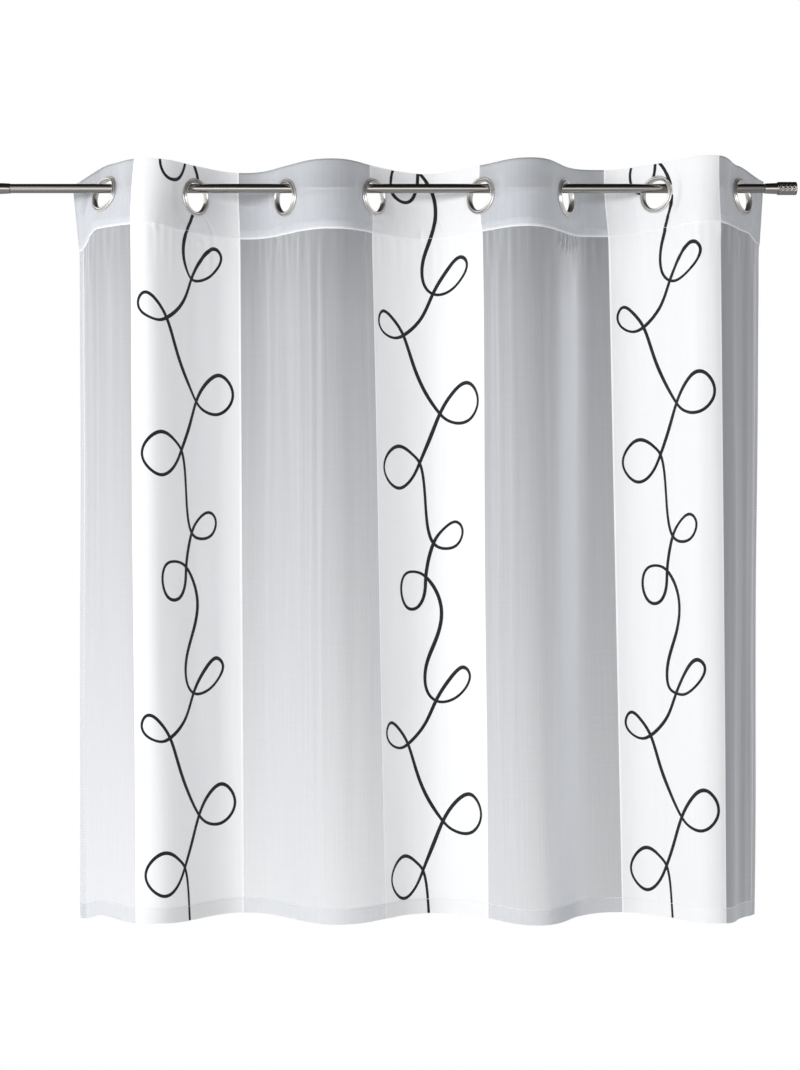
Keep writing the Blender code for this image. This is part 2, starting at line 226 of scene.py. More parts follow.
# The seam at the heading's foot and the fold on its lower edge, which is denser and painted white as a
# highlight, measured down from there
SEAM_LOWER = -2.0           # the seam thickens down to here
SEAM_BULGE = -8.0           # and its upper edge wanders up by as much as this
SEAM_SHOWS = 0.75           # how strongly it shows
FOLD_LINE = (-1.7, -0.9)    # where the fold starts, and where it is full
FOLD_SHOWS = (0.9, 0.2)     # how strongly it shows on sheer and on dense cloth
FOOT_FADE = (-0.2, 0.6)     # both end here

# --- looped line: one repeat, down each stripe -------------------------------------------
LINE_STARTS = (             # drop of the crossing that starts each repeat, stripe by stripe
    (-422.0, 160.0, 738.5),
    (-405.0, 173.0, 752.0),
    (-409.0, 168.0, 741.0),
)
# Points in the pen's order: across from the stripe's middle, down from the first crossing, width.
# A row is one loop from its crossing back to it, and then the way to the next.
LINE_CHART = (
    (6, 0, 4.0), (23, 1, 4.0), (50, -12, 4.0), (65, -36, 4.6), (53, -47, 5.4), (29, -32, 5.8),
    (6, 0, 5.0), (-12, 36, 4.8),
    (-40, 61, 5.0), (-57, 66, 3.8), (-78, 58, 3.6), (-85, 43, 3.8), (-76, 30, 4.4), (-57, 40, 4.8),
    (-40, 61, 5.0), (-20, 111, 5.4),
    (15, 171, 4.4), (34, 184, 4.2), (65, 185, 4.6), (84, 158, 4.2), (65, 132, 5.2), (36, 144, 5.8),
    (15, 171, 5.4), (0, 206, 5.4),
    (-15, 241, 4.6), (-29, 265, 4.4), (-55, 278, 4.6), (-81, 250, 3.6), (-52, 219, 5.2), (-25, 230, 4.2),
    (-15, 241, 4.2), (-7, 293, 3.8),
    (4, 355, 4.4), (21, 363, 4.2), (45, 357, 4.2), (53, 337, 4.2), (40, 326, 4.2), (17, 337, 4.2),
    (4, 355, 4.8),
    (-7, 403, 4.8), (-9, 426, 4.8), (-20, 446, 4.8), (-38, 447, 4.6), (-50, 424, 4.2), (-42, 400, 4.0),
    (-22, 396, 3.8),
    (-7, 403, 4.4), (14, 443, 5.4), (8, 488, 5.6), (-8, 532, 5.0), (-6, 566, 4.2),
)


def fold_column(name):
    index = FOLD_COLUMNS.index(name)
    return np.array([row[index] for row in FOLDS], dtype=float)


FLAT = fold_column("flat")
ANGLE = np.radians(fold_column("angle"))
ALONG_X = np.cos(ANGLE)
ALONG_Y = np.sin(ANGLE)
LEVEL = np.zeros(len(FOLDS))
LEAN_X = fold_column("lean_x")
LEAN_Y = fold_column("lean_y")


def between_folds(u, values, slopes):
    """Smooth curve through one value for each row of FOLDS, read at the flat distances u."""
    left = np.clip(np.searchsorted(FLAT, u, side="right") - 1, 0, len(FLAT) - 2)
    span = FLAT[left + 1] - FLAT[left]
    t = (u - FLAT[left]) / span
    start = (1 + 2 * t) * (1 - t) ** 2
    leave = t * (1 - t) ** 2 * span
    arrive = t ** 2 * (t - 1) * span
    end = t ** 2 * (3 - 2 * t)
    return start * values[left] + leave * slopes[left] + end * values[left + 1] + arrive * slopes[left + 1]


def lean_share(v):
    """1 at the top edge, 0 below the heading, with a soft bend at the heading's foot."""
    upper = 1 - v / BAND_DEPTH
    bend = (BAND_DEPTH + FOLD_SOFTNESS - v) ** 2 / (4 * FOLD_SOFTNESS * BAND_DEPTH)
    below = np.where(v < BAND_DEPTH + FOLD_SOFTNESS, bend, 0.0)
    return np.where(v < BAND_DEPTH - FOLD_SOFTNESS, upper, below)


EYELET_SHARE = float(lean_share(np.array(EYELET_DOWN)))


def lean_drop(u, v):
    """How much less a leaning heading hangs down than an upright one."""
    lean_x = between_folds(u, LEAN_X, LEVEL)
    lean_y = between_folds(u, LEAN_Y, LEVEL)
    slant = (lean_x ** 2 + lean_y ** 2) / BAND_DEPTH ** 2
    return BAND_DEPTH * (1 - np.sqrt(1 - slant)) * (1 - lean_share(v))


def waves(u, v, rise):
    """Point of the cloth's middle surface, u across and v down from the top edge."""
    across = between_folds(u, fold_column("across"), ALONG_X)
    depth = between_folds(u, fold_column("depth"), ALONG_Y)
    lean_x = between_folds(u, LEAN_X, LEVEL)
    lean_y = between_folds(u, LEAN_Y, LEVEL)
    foot_x = across - EYELET_SHARE * lean_x
    foot_y = depth - EYELET_SHARE * lean_y
    hem_x = between_folds(u, fold_column("hem_x"), ALONG_X)
    hem_y = between_folds(u, fold_column("hem_y"), ALONG_Y)
    lean = lean_share(v)
    fall = np.clip((v - BAND_DEPTH) / (PANEL_DROP - BAND_DEPTH), 0, 1)
    x = foot_x + lean * lean_x + fall * (hem_x - foot_x)
    y = foot_y + lean * lean_y + fall * (hem_y - foot_y)
    left_over = 1 - (1 - HEM_RISE) * fall
    z = TOP_HEIGHT + left_over * between_folds(u, rise, LEVEL) - v + lean_drop(u, v)
    return np.stack((x, y, z), axis=-1)


def ring_axes(row):
    """Directions of an eyelet: along the cloth, up the cloth, and out of its front."""
    along = Vector((ALONG_X[row], ALONG_Y[row], 0))
    level = math.sqrt(BAND_DEPTH ** 2 - LEAN_X[row] ** 2 - LEAN_Y[row] ** 2)
    up = Vector((LEAN_X[row], LEAN_Y[row], level))
    up = (up - up.dot(along) * along).normalized()
    return along, up, along.cross(up)


def ring_drop(row):
    """How far an eyelet's centre hangs below the rod's axis when it rests on the rod."""
    along, up, front = ring_axes(row)
    reach = ROD_RADIUS + REST_CLEARANCE
    turn = np.linspace(0, math.pi, 181)
    heights = []
    for out in (BACK_FACE, 0.0, FRONT_CROWN):
        side = EYELET_INNER * (np.cos(turn) * along.y + np.sin(turn) * up.y) + out * front.y
        height = EYELET_INNER * (np.cos(turn) * along.z + np.sin(turn) * up.z) + out * front.z
        over = np.abs(side) < reach
        heights.append((height[over] - np.sqrt(reach ** 2 - side[over] ** 2)).min())
    return min(heights)


EYELET_ROWS = [index for index, row in enumerate(FOLDS) if row[0].startswith("eyelet")]


def settled_rise():
    """The rise column, with each eyelet's own value found from where its ring rests."""
    rise = fold_column("rise")
    for row in EYELET_ROWS:
        level = TOP_HEIGHT - EYELET_DOWN + float(lean_drop(FLAT[row], np.array(EYELET_DOWN)))
        rise[row] = -ring_drop(row) - level
    return rise


RISE = settled_rise()


def ring_centre(row):
    return Vector(waves(np.array([FLAT[row]]), np.array([EYELET_DOWN]), RISE)[0])


def surface(u, v):
    """The waves, held flat where the eyelets clamp the cloth."""
    points = waves(u, v, RISE)
    for row in EYELET_ROWS:
        along, up, _ = ring_axes(row)
        side = u - FLAT[row]
        height = EYELET_DOWN - v
        flat = np.array(ring_centre(row)) + side[:, None] * np.array(along) + height[:, None] * np.array(up)
        away = np.clip((np.hypot(side, height) - FLAT_RADIUS) / (BLEND_RADIUS - FLAT_RADIUS), 0, 1)
        hold = 1 - away ** 2 * (3 - 2 * away)
        points += hold[:, None] * (flat - points)
    return points


# --- small folds -------------------------------------------------------------------------

def smooth_step(value, start, end):
    t = np.clip((value - start) / (end - start), 0, 1)
    return t * t * (3 - 2 * t)


def to_nearest_eyelet(u, v):
    """Flat distance to the middle of the nearest eyelet."""
    place = np.clip(np.round((u - EYELET_MARGIN) / EYELET_PITCH), 0, EYELETS - 1)
    return np.hypot(u - EYELET_MARGIN - place * EYELET_PITCH, v - EYELET_DOWN)


def soft_ridges(u, v):
    """The table of small folds."""
    height = np.zeros_like(u)
    fall = (v - BAND_DEPTH) / (PANEL_DROP - BAND_DEPTH)
    for flat, hem, width, rise, start, end in SMALL_FOLDS:
        middle = flat + (hem - flat) * fall + 1.5 * np.sin(v / 97.0 + flat)
        # it rises quickly below its start and fades slowly towards its end
        shown = smooth_step(v, start - 10, start + 50) * (1 - smooth_step(v, end - 220, end + 60))
        height += rise * shown * np.exp(-((u - middle) / width) ** 2)
    return height


def pinches(u, v):
    """The table of short tucks."""
    height = np.zeros_like(u)
    for flat, down, width, length, rise, slant in PINCHES:
        middle = flat + slant * (v - down)
        height += rise * np.exp(-((u - middle) / width) ** 2 - ((v - down) / length) ** 2)
    return height


def gathers(u, v):
    """The stitched foot of the heading draws the cloth into short uneven tucks."""
    tucks = (np.sin(u / 2.3 + 1.3 * np.sin(u / 31)) + 0.8 * np.sin(u / 3.7 + 2.0)
             + 0.9 * np.sin(u / 6.1 + 0.6) + 0.7 * np.sin(u / 11.3))
    uneven = 0.55 + 0.45 * np.sin(u / 47.0 + 1.1) * np.sin(u / 19.0)
    foot = v - BAND_DEPTH
    below = smooth_step(foot, -6, 7) * (1 - smooth_step(foot, 14, 78))
    above = smooth_step(foot, -34, -8) * (1 - smooth_step(foot, -8, 4))
    return tucks * uneven * (0.612 * below + 0.119 * above) + pinches(u, v)


def ring_tension(u, v):
    """A faint round ridge below each eyelet, where the stiff disc of the ring pulls the cloth."""
    radius, width, height = RING_RIDGE
    lower = smooth_step(v, EYELET_DOWN + 6, EYELET_DOWN + 26)
    return height * lower * np.exp(-((to_nearest_eyelet(u, v) - radius) / width) ** 2)


def slow_unevenness(u, v):
    """Hanging cloth is nowhere quite even."""
    return (0.9 * np.sin(u / 37.0 + v / 310.0) * np.sin(v / 183.0 + 1.7)
            + 0.6 * np.sin(u / 21.0 - v / 240.0 + 0.8) * np.sin(v / 126.0)
            + 0.25 * np.sin(u / 8.7 + 1.2 * np.sin(v / 88.0)) * smooth_step(v, 90, 200))


def relief(u, v):
    """Height of all small folds over the waves."""
    free = smooth_step(to_nearest_eyelet(u, v), FLAT_RADIUS - 1, BLEND_RADIUS)
    step = FOOT_STEP * smooth_step(v, BAND_DEPTH - 0.3, BAND_DEPTH + 2.0)
    # the doubled heading is stiffer, so it stays more even than the body
    body = smooth_step(v, BAND_DEPTH - 30, BAND_DEPTH + 40)
    folds = soft_ridges(u, v) + gathers(u, v) + (0.35 + 0.65 * body) * slow_unevenness(u, v)
    return free * folds + ring_tension(u, v) - step


def fronts(place, u, v):
    """Unit vectors out of the front of the surface that place() gives."""
    along = place(u + NORMAL_STEP, v) - place(u - NORMAL_STEP, v)
    up = place(u, v - NORMAL_STEP) - place(u, v + NORMAL_STEP)
    front = np.cross(along, up)
    return front / np.linalg.norm(front, axis=1)[:, None]


def creased(u, v):
    """The waves with all small folds on them."""
    return surface(u, v) + fronts(surface, u, v) * relief(u, v)[:, None]


def hang(bm):
    """Carry a flat mesh (across, up, front) to its hanging place, and to metres."""
    flat = np.array([vert.co for vert in bm.verts], dtype=float)
    u = flat[:, 0]
    v = -flat[:, 1]
    points = (creased(u, v) + fronts(creased, u, v) * flat[:, 2:3]) * MM
    for vert, point in zip(bm.verts, points):
        vert.co = point


def pulled(u, v):
    """How far the woven stripes and their print are pulled to the right in the heading."""
    flat, shift = np.array(PULLED, dtype=float).T
    return np.interp(u, flat, shift) * (1 - smooth_step(v, *PULLED_END))


# --- objects and materials ---------------------------------------------------------------

FLAT_MAP = "Flat"           # UV map of the cloth: metres across and down on the flat panel


def add_piece(name, bm, mat, nodes, smooth_angle=50.0):
    """A finished piece rides on the one body, and stands for the named nodes."""
    mesh = bpy.data.meshes.new(name)
    bm.to_mesh(mesh)
    bm.free()
    mesh.shade_smooth()
    mesh.set_sharp_from_angle(angle=math.radians(smooth_angle))
    mesh.materials.append(mat)
    piece = bpy.data.objects.new(name, mesh)
    bpy.context.collection.objects.link(piece)
    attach(piece, "root")
    if nodes:
        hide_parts(*nodes)
    return piece


def colour(code):
    """Linear RGBA of an sRGB hex value."""
    parts = [int(code[place:place + 2], 16) / 255 for place in (1, 3, 5)]
    return (*[part / 12.92 if part <= 0.04045 else ((part + 0.055) / 1.055) ** 2.4 for part in parts], 1.0)


def add_node(owner, kind, inputs=None, **settings):
    """A node with its settings, and a value, a socket or the node to link on each named input."""
    node = owner.node_tree.nodes.new("ShaderNode" + kind)
    for name, value in settings.items():
        setattr(node, name, value)
    for name, value in (inputs or {}).items():
        if isinstance(value, bpy.types.Node):
            value = next(socket for socket in value.outputs if socket.enabled)
        if isinstance(value, bpy.types.NodeSocket):
            owner.node_tree.links.new(value, node.inputs[name])
        else:
            node.inputs[name].default_value = value
    return node


def new_material(name):
    """A material that has no nodes yet."""
    mat = bpy.data.materials.new(name)
    mat.use_nodes = True
    mat.node_tree.nodes.clear()
    return mat


def finish_material(mat, shader):
    """Give the material its surface."""
    add_node(mat, "OutputMaterial", {"Surface": shader})
    return mat


def woven_stripes(mat, across):
    """1 on the dense stripes, and 1 on the bright borders just inside their edges."""
    from_first = add_node(mat, "Math", {0: across, 1: STRIPE_FIRST}, operation="SUBTRACT")
    off_middle = add_node(mat, "Math", {0: from_first, 1: STRIPE_PERIOD / 2}, operation="PINGPONG")
    half = STRIPE_WIDTH / 2
    stripe = add_node(mat, "MapRange", {"Value": off_middle, "From Min": half - STRIPE_EDGE,
                                        "From Max": half + STRIPE_EDGE, "To Min": 1.0, "To Max": 0.0})
    off_border = add_node(mat, "Math", {0: off_middle, 1: half - BORDER_INSET}, operation="SUBTRACT")
    off_border = add_node(mat, "Math", {0: off_border}, operation="ABSOLUTE")
    border = add_node(mat, "MapRange", {"Value": off_border, "From Min": BORDER_HALF[0],
                                        "From Max": BORDER_HALF[1], "To Min": 1.0, "To Max": 0.0})
    return stripe, border


def heading_foot(mat, flat, down, stripe):
    """The seam that catches the edges of all layers at the heading's foot, and the fold below it, whose yarn
    is painted white as a highlight.
    """
    bulge = add_node(mat, "TexNoise", {"Vector": flat, "Scale": 0.05, "Detail": 2.0})
    below = add_node(mat, "Math", {0: down, 1: BAND_DEPTH}, operation="SUBTRACT")
    seam_top = add_node(mat, "Math", {0: bulge, 1: SEAM_BULGE, 2: -SEAM_WIDTH}, operation="MULTIPLY_ADD")
    seam = add_node(mat, "MapRange", {"Value": below, "From Min": seam_top, "From Max": SEAM_LOWER,
                                      "To Max": SEAM_SHOWS})
    strength = add_node(mat, "MapRange", {"Value": stripe, "To Min": FOLD_SHOWS[0], "To Max": FOLD_SHOWS[1]})
    fold = add_node(mat, "MapRange", {"Value": below, "From Min": FOLD_LINE[0], "From Max": FOLD_LINE[1],
                                      "To Max": strength})
    ends = add_node(mat, "MapRange", {"Value": below, "From Min": FOOT_FADE[0], "From Max": FOOT_FADE[1],
                                      "To Min": 1.0, "To Max": 0.0})
    return [add_node(mat, "Math", {0: part, 1: ends}, operation="MULTIPLY") for part in (seam, fold)]


def painted_fold_highlight(mat, across, down):
    """Share of the gaps that stays open, less in a band under the sixth ring, which paints a highlight for
    the lit side of a fold.
    """
    middle = add_node(mat, "Math", {0: down, 1: HIGHLIGHT_SLANT, 2: HIGHLIGHT_FLAT}, operation="MULTIPLY_ADD")
    off_fold = add_node(mat, "Math", {0: across, 1: middle}, operation="SUBTRACT")
    off_fold = add_node(mat, "Math", {0: off_fold}, operation="ABSOLUTE")
    least = add_node(mat, "MapRange", {"Value": down, "From Min": HIGHLIGHT_START[0], "From Max": HIGHLIGHT_START[1],
                                       "To Min": 1.0, "To Max": 1 - HIGHLIGHT_SHARE})
    return add_node(mat, "MapRange", {"Value": off_fold, "From Max": HIGHLIGHT_WIDTH, "To Min": least,
                                      "To Max": 1.0}, interpolation_type="SMOOTHSTEP")


def woven_voile():
    """Polyester voile with dense woven stripes.

    Fine white threads leave about two thirds of it open, so it veils what is behind, and more so
    the more it turns away or lies double. The stripes are packed with yarn: bright, nearly opaque.
    """
    mat = new_material("woven_polyester_voile")
    place = add_node(mat, "UVMap", uv_map=FLAT_MAP)
    flat = add_node(mat, "VectorMath", {0: place, 1: (1 / MM, 1 / MM, 0)}, operation="MULTIPLY")
    across, down, _ = add_node(mat, "SeparateXYZ", {0: flat}).outputs
    stripe, border = woven_stripes(mat, across)
    seam, fold = heading_foot(mat, flat, down, stripe)
    edge = add_node(mat, "Math", {0: fold, 1: border}, operation="MAXIMUM")
    # threads are 0.3 mm apart, too fine to show, so uneven ones are drawn about 2 mm wide
    yarns = []
    for scale, roughness in ((WARP_SCALE, 0.6), (WEFT_SCALE, 0.65)):
        drawn = add_node(mat, "VectorMath", {0: flat, 1: scale}, operation="MULTIPLY")
        yarns.append(add_node(mat, "TexNoise", {"Vector": drawn, "Scale": 1.0, "Detail": 3.0,
                                                "Roughness": roughness}))
    threads = add_node(mat, "Mix", {"Factor": WEFT_SHARE, "A": yarns[0], "B": yarns[1]})
    sheer, dense = [add_node(mat, "MapRange", {"Value": threads, "From Min": 0.3, "From Max": 0.7,
                                               "To Min": most, "To Max": least})
                    for most, least in (SHEER_GAPS, DENSE_GAPS)]
    # painted highlight: the sheer is denser in a band under the sixth ring
    sheer = add_node(mat, "Math", {0: sheer, 1: painted_fold_highlight(mat, across, down)}, operation="MULTIPLY")
    gaps = add_node(mat, "Mix", {"Factor": stripe, "A": sheer, "B": dense})
    gaps = add_node(mat, "Mix", {"Factor": seam, "A": gaps, "B": SEAM_GAPS})
    gaps = add_node(mat, "Mix", {"Factor": edge, "A": gaps, "B": EDGE_GAPS})
    # a sheet seen at a slant has more thread in the way
    facing = add_node(mat, "LayerWeight", {"Blend": 0.5})
    square_on = add_node(mat, "MapRange", {"Value": facing.outputs["Facing"], "To Min": 1.0,
                                           "To Max": SLANTED_LEAST})
    layers = add_node(mat, "Math", {0: 1.0, 1: square_on}, operation="DIVIDE")
    seen = add_node(mat, "Math", {0: gaps, 1: layers}, operation="POWER")
    cover = add_node(mat, "Math", {0: 1.0, 1: seen}, operation="SUBTRACT")
    cool, white = [add_node(mat, "Mix", {"Factor": threads, "A": colour(dark), "B": colour(light)},
                            data_type="RGBA")
                   for dark, light in (SHEER_YARN, DENSE_YARN)]
    yarn = add_node(mat, "Mix", {"Factor": stripe, "A": cool, "B": white}, data_type="RGBA")
    # the stripes' borders are white yarn; on the heading's fold the white is a painted highlight
    yarn = add_node(mat, "Mix", {"Factor": edge, "A": yarn, "B": colour(BORDER_YARN_AND_FOLD_HIGHLIGHT)}, data_type="RGBA")
    roughness = add_node(mat, "MapRange", {"Value": threads, "To Min": 0.48, "To Max": 0.68})
    bump = add_node(mat, "Bump", {"Height": threads, "Strength": 0.2, "Distance": 0.0004})
    woven = add_node(mat, "BsdfPrincipled", {"Base Color": yarn, "Roughness": roughness, "Normal": bump,
                                             "Sheen Weight": 0.15, "Sheen Roughness": 0.4,
                                             "Specular IOR Level": 0.35})
    through = add_node(mat, "BsdfTranslucent", {"Color": yarn, "Normal": bump})
    cloth = add_node(mat, "MixShader", {0: LIGHT_THROUGH, 1: woven, 2: through})
    open_air = add_node(mat, "BsdfTransparent")
    return finish_material(mat, add_node(mat, "MixShader", {0: cover, 1: open_air, 2: cloth}))


def sewing_thread():
    """Spun polyester thread: white, dull and slightly fuzzy.

    The fuzz of about 0.1 mm is drawn 1.1 mm wide, so that it shows.
    """
    mat = new_material("spun_polyester_thread")
    place = add_node(mat, "TexCoord").outputs["Object"]
    fuzz = add_node(mat, "TexNoise", {"Vector": place, "Scale": 900.0, "Detail": 2.0})
    tint = add_node(mat, "Mix", {"Factor": fuzz, "A": colour("#E4E5E7"), "B": colour("#F6F6F7")},
                    data_type="RGBA")
    bump = add_node(mat, "Bump", {"Height": fuzz, "Strength": 0.4, "Distance": 0.0002})
    return finish_material(mat, add_node(mat, "BsdfPrincipled", {"Base Color": tint, "Roughness": 0.8,
                                                                 "Normal": bump, "Sheen Weight": 0.3}))


def flock_print():
    """Black flock print: short fibre on a raised line, matt with a faint soft edge light.

    The fibres of 0.5 mm stand in tufts that are drawn 1.4 mm wide.
    """
    mat = new_material("black_flock_print")
    place = add_node(mat, "TexCoord").outputs["Object"]
    fibre = add_node(mat, "TexNoise", {"Vector": place, "Scale": 700.0, "Detail": 3.0})
    tint = add_node(mat, "Mix", {"Factor": fibre, "A": colour("#111214"), "B": colour("#26282B")},
                    data_type="RGBA")
    bump = add_node(mat, "Bump", {"Height": fibre, "Strength": 0.5, "Distance": 0.0002})
    return finish_material(mat, add_node(mat, "BsdfPrincipled", {"Base Color": tint, "Roughness": 0.75,
                                                                 "Normal": bump, "Sheen Weight": 0.1,
                                                                 "Specular IOR Level": 0.25}))


def satin_nickel():
    """Pressed steel with satin nickel plating: warm grey, softly blurred reflections.

    Patches of about 7 mm differ a little in tone and gloss, and the fine satin grain is 0.4 mm wide.
    """
    mat = new_material("satin_nickel_plating")
    place = add_node(mat, "TexCoord").outputs["Object"]
    cloudy = add_node(mat, "TexNoise", {"Vector": place, "Scale": 140.0, "Detail": 4.0})
    fine = add_node(mat, "TexNoise", {"Vector": place, "Scale": 2600.0, "Detail": 2.0})
    tint = add_node(mat, "Mix", {"Factor": cloudy, "A": colour("#DAD7D3"), "B": colour("#E6E4E0")},
                    data_type="RGBA")
    roughness = add_node(mat, "MapRange", {"Value": cloudy, "To Min": 0.24, "To Max": 0.34})
    bump = add_node(mat, "Bump", {"Height": fine, "Strength": 0.05, "Distance": 0.00005})
    return finish_material(mat, add_node(mat, "BsdfPrincipled", {"Base Color": tint, "Metallic": 1.0,
                                                                 "Roughness": roughness, "Normal": bump}))


def brushed_steel(name, light, dark):
    """Stainless steel with long scratches along the rod, which stretch the reflections.

    Real ones are 0.05 mm apart, too fine to show, so they are drawn about 0.5 mm apart.
    """
    mat = new_material(name)
    place = add_node(mat, "TexCoord").outputs["Object"]
    drawn = add_node(mat, "VectorMath", {0: place, 1: (6, 1800, 1800)}, operation="MULTIPLY")
    scratches = add_node(mat, "TexNoise", {"Vector": drawn, "Scale": 1.0, "Detail": 3.0})
    tint = add_node(mat, "Mix", {"Factor": scratches, "A": colour(dark), "B": colour(light)},
                    data_type="RGBA")
    roughness = add_node(mat, "MapRange", {"Value": scratches, "To Min": 0.12, "To Max": 0.24})
    bump = add_node(mat, "Bump", {"Height": scratches, "Strength": 0.15, "Distance": 0.00005})
    return finish_material(mat, add_node(mat, "BsdfPrincipled", {"Base Color": tint, "Metallic": 1.0,
                                                                 "Roughness": roughness, "Normal": bump}))


def pale_floor():
    """Matt painted floor of the studio, faintly mottled over about 300 mm."""
    mat = new_material("matt_white_floor_paint")
    place = add_node(mat, "TexCoord").outputs["Object"]
    mottle = add_node(mat, "TexNoise", {"Vector": place, "Scale": 3.0, "Detail": 2.0})
    tint = add_node(mat, "Mix", {"Factor": mottle, "A": colour("#EFEFEF"), "B": colour("#F4F4F4")},
                    data_type="RGBA")
    return finish_material(mat, add_node(mat, "BsdfPrincipled", {"Base Color": tint, "Roughness": 0.9}))


# --- cloth -------------------------------------------------------------------------------

CELL = 2.4                  # width of a grid cell
HEM_BEND = 0.7              # grid lines lie this near to a fold
# under the heading, grid rows down to this drop lie this far apart
ROWS_BELOW = ((130.0, 2.6), (170.0, 4.0), (PANEL_DROP - BOTTOM_HEM, 9.6), (PANEL_DROP, 7.0))
EYELET_HALF = 36.0          # half the square around an eyelet that its rings of faces fill
RIM_RADII = (33.0, 28.5, CLOTH_HOLE)


def even_lines(start, end, cell):
    """Grid lines from start to end, about a cell apart, without the first."""
    return list(np.linspace(start, end, max(1, round((end - start) / cell)) + 1))[1:]


def eyelet_places():
    return [EYELET_MARGIN + index * EYELET_PITCH for index in range(EYELETS)]


def column_lines(left, right):
    """Grid lines across, which meet the square around every eyelet."""
    lines = [left]
    for place in eyelet_places():
        lines += even_lines(lines[-1], place - EYELET_HALF, CELL)
        lines += even_lines(place - EYELET_HALF, place + EYELET_HALF, CELL)
    return lines + even_lines(lines[-1], right, CELL)


def heading_lines(top, bottom):
    """Grid lines down the heading."""
    lines = [top] + even_lines(top, EYELET_DOWN - EYELET_HALF, CELL)
    lines += even_lines(EYELET_DOWN - EYELET_HALF, EYELET_DOWN + EYELET_HALF, CELL)
    return lines + even_lines(EYELET_DOWN + EYELET_HALF, bottom, CELL)


def flat_grid(columns, rows):
    """A flat grid on the given lines, front side up."""
    bm = bmesh.new()
    bmesh.ops.create_grid(bm, x_segments=len(columns) - 1, y_segments=len(rows) - 1, size=0.5)
    for vert in bm.verts:
        column = round((vert.co.x + 0.5) * (len(columns) - 1))
        row = round((0.5 - vert.co.y) * (len(rows) - 1))
        vert.co = (columns[column], -rows[row], 0)
    return bm


def rounded_off(away):
    """Direction on a circle for a place on a square, where even steps along the square stay even."""
    if abs(away.x) >= abs(away.y):
        turn = away.y / away.x * math.pi / 4
        return Vector((math.cos(turn), math.sin(turn), 0)) * math.copysign(1, away.x)
    turn = away.x / away.y * math.pi / 4
    return Vector((math.sin(turn), math.cos(turn), 0)) * math.copysign(1, away.y)


def punch(bm, place):
    """Replace the square around an eyelet by rings of faces with a round hole in the middle."""
    middle = Vector((place, -EYELET_DOWN, 0))
    inside = {face for face in bm.faces
              if max(map(abs, face.calc_center_median() - middle)) < EYELET_HALF}
    edges = {edge for face in inside for edge in face.edges}
    rim = [edge for edge in edges if not inside.issuperset(edge.link_faces)]
    bmesh.ops.delete(bm, geom=list(inside), context="FACES")
    for radius in RIM_RADII:
        grown = bmesh.ops.extrude_edge_only(bm, edges=rim)["geom"]
        rim = [item for item in grown if isinstance(item, bmesh.types.BMEdge)]
        for vert in {vert for edge in rim for vert in edge.verts}:
            away = vert.co - middle
            if radius == RIM_RADII[0]:
                away = rounded_off(away)
            vert.co = middle + radius * away.normalized()


def clear_rings(bm, height):
    """Cut the cloth above this height away from the holes."""
    near = [vert for vert in bm.verts if vert.co.z > height
            and to_nearest_eyelet(np.array(vert.co.x), np.array(-vert.co.y)) < CLOTH_HOLE]
    bmesh.ops.delete(bm, geom=near, context="VERTS")


def turn_hems(bm):
    """Cloth beyond the side and bottom edges is turned to the back."""
    for vert in bm.verts:
        if vert.co.x < 0 or vert.co.x > PANEL_WIDTH:
            edge = 0 if vert.co.x < 0 else PANEL_WIDTH
            vert.co.x = 2 * edge - vert.co.x
            vert.co.z -= HEM_BEHIND
        if vert.co.y < -PANEL_DROP:
            vert.co.y = -2 * PANEL_DROP - vert.co.y
            vert.co.z -= HEM_BEHIND


def map_flat(bm):
    """UV map of the cloth's own flat place, in metres."""
    layer = bm.loops.layers.uv.new(FLAT_MAP)
    for vert in bm.verts:
        across, down = vert.co.x, -vert.co.y
        # the thread that the pull brought here, found in two steps
        woven = across - pulled(across - pulled(across, down), down)
        for loop in vert.link_loops:
            loop[layer].uv = (woven * MM, down * MM)


def build_panel(mat):
    """The one width of voile, with its holes and its turned hems."""
    columns = [-SIDE_HEM, -SIDE_HEM / 2, -HEM_BEND] + column_lines(0.0, PANEL_WIDTH)
    columns += [PANEL_WIDTH + HEM_BEND, PANEL_WIDTH + SIDE_HEM / 2, PANEL_WIDTH + SIDE_HEM]
    rows = heading_lines(0.0, BAND_DEPTH) + [BAND_DEPTH + HEM_BEND, BAND_DEPTH + FOOT_EDGE]
    for end, cell in ROWS_BELOW:
        rows += even_lines(rows[-1], end, cell)
    rows += [PANEL_DROP + HEM_BEND, PANEL_DROP + BOTTOM_HEM / 2, PANEL_DROP + BOTTOM_HEM]
    bm = flat_grid(columns, rows)
    for place in eyelet_places():
        punch(bm, place)
    turn_hems(bm)
    map_flat(bm)
    hang(bm)
    return add_piece("voile_panel", bm, mat, ["panel"])


def build_heading(mat):
    """The doubling, and the layer that is turned up inside it from the heading's foot."""
    rows = heading_lines(BAND_INSET, BAND_DEPTH) + [BAND_DEPTH + HEM_BEND]
    rows += even_lines(BAND_DEPTH + HEM_BEND, BAND_DEPTH + BAND_TURN, CELL)
    bm = flat_grid(column_lines(BAND_INSET, PANEL_WIDTH - BAND_INSET), rows)
    for place in eyelet_places():
        punch(bm, place)
    for vert in bm.verts:
        vert.co.z = -BAND_BEHIND
        if vert.co.y < -BAND_DEPTH - HEM_BEND / 2:
            vert.co.y = -2 * BAND_DEPTH - vert.co.y
            vert.co.z = -TURN_BEHIND
    clear_rings(bm, (-BAND_BEHIND - TURN_BEHIND) / 2)
    map_flat(bm)
    hang(bm)
    return add_piece("heading_doubling", bm, mat, ["heading_band"])


# --- stitches ----------------------------------------------------------------------------

